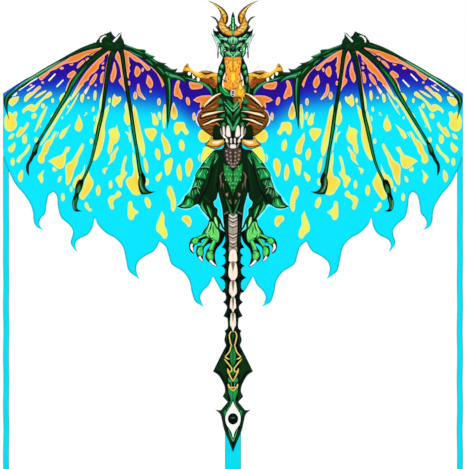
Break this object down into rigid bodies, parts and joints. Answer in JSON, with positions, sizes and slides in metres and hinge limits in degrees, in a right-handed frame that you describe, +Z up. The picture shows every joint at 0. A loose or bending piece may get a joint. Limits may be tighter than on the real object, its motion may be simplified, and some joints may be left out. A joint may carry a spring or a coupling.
{
  "type": "dragon kite",
  "caption": "Single-line kite in the shape of a winged dragon: printed sail on a glass-fibre frame, soft tail, three streamers and a tow ring.",
  "frame": {"origin": "middle of the tow eyelet, in the plane of the sail", "axes": "+Z up the spine towards the head, +X across the span to the viewer's right when the printed face is seen, +Y from the printed face to the framed back"},
  "size_m": [1.38, 0.0263, 1.797],
  "materials": {
    "printed_ripstop": "printed ripstop polyester, slight sheen",
    "cyan_ripstop": "plain cyan ripstop, slight sheen",
    "black_tape": "woven polyester tape",
    "glass_fibre": "pultruded rod, satin",
    "black_vinyl": "soft vinyl, satin",
    "moulded_plastic": "fine moulded texture",
    "aluminium_tube": "drawn, satin",
    "plated_steel": "bright nickel plate"
  },
  "bodies": {
    "frame": {"head_panel": "printed_ripstop", "body_panel": "printed_ripstop", "spine_upper_rod": "glass_fibre", "spine_lower_rod": "glass_fibre", "spine_ferrule": "aluminium_tube", "spine_head_cap": "black_vinyl", "spine_foot_cap": "black_vinyl", "spine_stop_upper": "black_vinyl", "spine_stop_lower": "black_vinyl", "spine_sleeve_upper": "black_tape", "spine_sleeve_middle": "black_tape", "spine_sleeve_lower": "black_tape", "head_pocket": "black_tape", "foot_pocket": "black_tape", "centre_fitting": "moulded_plastic", "tow_eyelet": "plated_steel", "tow_washer": "plated_steel", "tow_patch": "black_tape"},
    "ring": {"tow_ring": "plated_steel"},
    "tail": {"tail_panel": "printed_ripstop", "tail_ribbon_tab": "black_tape"},
    "left_streamer": {"ribbon_left": "cyan_ripstop"},
    "right_streamer": {"ribbon_right": "cyan_ripstop"},
    "centre_streamer": {"ribbon_centre": "cyan_ripstop"},
    "left_wing": {"wing_panel_left": "printed_ripstop", "spar_rod_left": "glass_fibre", "spar_joint_tube_left": "black_vinyl", "spar_clip_left": "moulded_plastic", "edge_rod_outer_left": "glass_fibre", "edge_rod_inner_left": "glass_fibre", "edge_sleeve_outer_left": "black_tape", "edge_sleeve_inner_left": "black_tape", "wrist_connector_left": "black_vinyl", "tip_connector_left": "black_vinyl", "wrist_patch_left": "black_tape", "tip_patch_left": "black_tape", "spar_keeper_inner_left": "black_tape", "spar_keeper_outer_left": "black_tape", "ribbon_tab_left": "black_tape"},
    "right_wing": {"wing_panel_right": "printed_ripstop", "spar_rod_right": "glass_fibre", "spar_joint_tube_right": "black_vinyl", "spar_clip_right": "moulded_plastic", "edge_rod_outer_right": "glass_fibre", "edge_rod_inner_right": "glass_fibre", "edge_sleeve_outer_right": "black_tape", "edge_sleeve_inner_right": "black_tape", "wrist_connector_right": "black_vinyl", "tip_connector_right": "black_vinyl", "wrist_patch_right": "black_tape", "tip_patch_right": "black_tape", "spar_keeper_inner_right": "black_tape", "spar_keeper_outer_right": "black_tape", "ribbon_tab_right": "black_tape"}
  },
  "joints": [
    {"name": "left_wing_flex", "type": "hinge", "parent": "frame", "child": "left_wing", "pos_m": [-0.046, 0, -0.01], "axis": [0, 0, -1], "range_deg": [0, 30], "stiffness_Nm_per_rad": 0.4, "deforming": ["spar_joint_tube_left"]},
    {"name": "right_wing_flex", "type": "hinge", "parent": "frame", "child": "right_wing", "pos_m": [0.046, 0, -0.01], "axis": [0, 0, 1], "range_deg": [0, 30], "stiffness_Nm_per_rad": 0.4, "deforming": ["spar_joint_tube_right"]},
    {"name": "tail_swing", "type": "hinge", "parent": "frame", "child": "tail", "pos_m": [0, 0, -0.601], "axis": [1, 0, 0], "range_deg": [-30, 60]},
    {"name": "left_streamer_swing", "type": "hinge", "parent": "left_wing", "child": "left_streamer", "pos_m": [-0.68125, 0.00085, -0.0406], "axis": [1, 0, 0], "range_deg": [0, 45]},
    {"name": "right_streamer_swing", "type": "hinge", "parent": "right_wing", "child": "right_streamer", "pos_m": [0.68125, 0.00085, -0.0406], "axis": [1, 0, 0], "range_deg": [0, 45]},
    {"name": "centre_streamer_swing", "type": "hinge", "parent": "tail", "child": "centre_streamer", "pos_m": [0, 0.00085, -1.0126], "axis": [1, 0, 0], "range_deg": [0, 45]},
    {"name": "tow_ring_swing", "type": "hinge", "parent": "frame", "child": "ring", "pos_m": [0, -0.0046, 0], "axis": [-1, 0, 0], "range_deg": [0, 160]}
  ]
}
